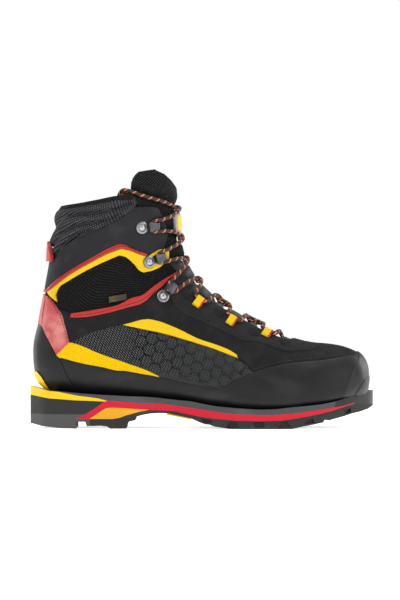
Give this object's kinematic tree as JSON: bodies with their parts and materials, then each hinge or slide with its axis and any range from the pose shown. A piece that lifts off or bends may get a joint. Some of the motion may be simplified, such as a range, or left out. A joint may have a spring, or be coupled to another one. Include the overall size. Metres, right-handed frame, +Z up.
{
  "type": "mountaineering boot",
  "caption": "Stiff insulated mountaineering boot for the right foot, with a laced flexing cuff, rubber rand and crampon ledges at heel and toe.",
  "frame": {"origin": "middle of the ground rectangle under the boot, on the ground plane", "axes": "+X towards the toe, +Z up, +Y towards the wearer's left (medial) side"},
  "size_m": [0.3053, 0.1018, 0.2285],
  "materials": {
    "rubber_black": "matte",
    "rubber_gray": "satin",
    "microfibre_dark": "matte",
    "shell_dark": "satin",
    "red_foam": "satin",
    "orange_foam": "satin",
    "yellow_plastic": "satin",
    "gray_plastic": "satin",
    "board": "matte",
    "red_textile": "woven",
    "yellow_textile": "woven",
    "mesh_black": "woven",
    "stretch_black": "woven",
    "collar_textile": "woven",
    "lining_textile": "woven",
    "lace_cord": "braided",
    "webbing": "woven",
    "metal_dark": "satin",
    "metal_bright": "satin",
    "label_gold": "woven",
    "badge_yellow": "satin",
    "badge_gray": "satin"
  },
  "bodies": {
    "foot": {"outsole": "rubber_black", "midsole_red": "red_foam", "arch_insert_orange": "orange_foam", "arch_rib_orange": "orange_foam", "heel_crampon_ledge": "yellow_plastic", "welt_strip_gray": "rubber_gray", "toe_crampon_welt": "rubber_black", "shank": "board", "lasting_board": "board", "ankle_stretch_panel": "stretch_black", "ankle_piping_lateral": "red_textile", "ankle_piping_medial": "red_textile", "heel_rand": "rubber_black", "tendon_strip": "red_textile", "heel_panel_lateral": "red_textile", "heel_panel_medial": "red_textile", "toe_bumper": "rubber_black", "toe_cap": "rubber_black", "side_rand_lateral": "rubber_black", "side_rand_medial": "rubber_black", "heel_textile_yellow_lateral": "yellow_textile", "heel_textile_yellow_medial": "yellow_textile", "flank_stripe_yellow_lateral": "yellow_textile", "flank_stripe_yellow_medial": "yellow_textile", "flank_mesh_panel_lateral": "mesh_black", "flank_mesh_panel_medial": "mesh_black", "eyestay_lateral": "microfibre_dark", "eyestay_medial": "microfibre_dark", "vamp_and_quarters": "microfibre_dark", "side_label": "label_gold", "tongue_flex": "collar_textile", "tongue_instep": "collar_textile", "lining_ankle": "lining_textile", "lining_foot": "lining_textile", "heel_counter": "gray_plastic", "toe_puff": "gray_plastic", "lace": "lace_cord", "lace_aglets": "metal_dark", "lace_loops": "webbing", "foot_rivets": "metal_bright", "hook_low_lateral": "metal_dark", "hook_low_medial": "metal_dark"},
    "cuff": {"cuff_shell": "shell_dark", "cuff_piping": "red_textile", "cuff_frame_yellow_lateral": "yellow_plastic", "cuff_frame_yellow_medial": "yellow_plastic", "collar_pad": "collar_textile", "collar_binding": "collar_textile", "lining_cuff": "lining_textile", "tongue_shaft": "collar_textile", "tongue_badge_frame": "badge_gray", "tongue_badge_insert": "badge_yellow", "heel_pull_loop": "red_textile", "cuff_rivets": "metal_bright", "hook_top_lateral": "metal_dark", "hook_top_medial": "metal_dark", "hook_mid_lateral": "metal_dark", "hook_mid_medial": "metal_dark"},
    "footbed": {"footbed": "lining_textile"}
  },
  "joints": [
    {"name": "cuff_flex", "type": "hinge", "parent": "foot", "child": "cuff", "pos_m": [-0.1395, 0, 0.1185], "axis": [0, 1, 0], "range_deg": [0, 5], "stiffness_Nm_per_rad": 25, "deforming": ["ankle_stretch_panel", "lining_ankle", "tongue_flex", "lace", "lace_aglets"]},
    {"name": "footbed_lift", "type": "hinge", "parent": "foot", "child": "footbed", "pos_m": [0.124, 0, 0.0315], "axis": [0, 1, 0], "range_deg": [0, 10]}
  ]
}
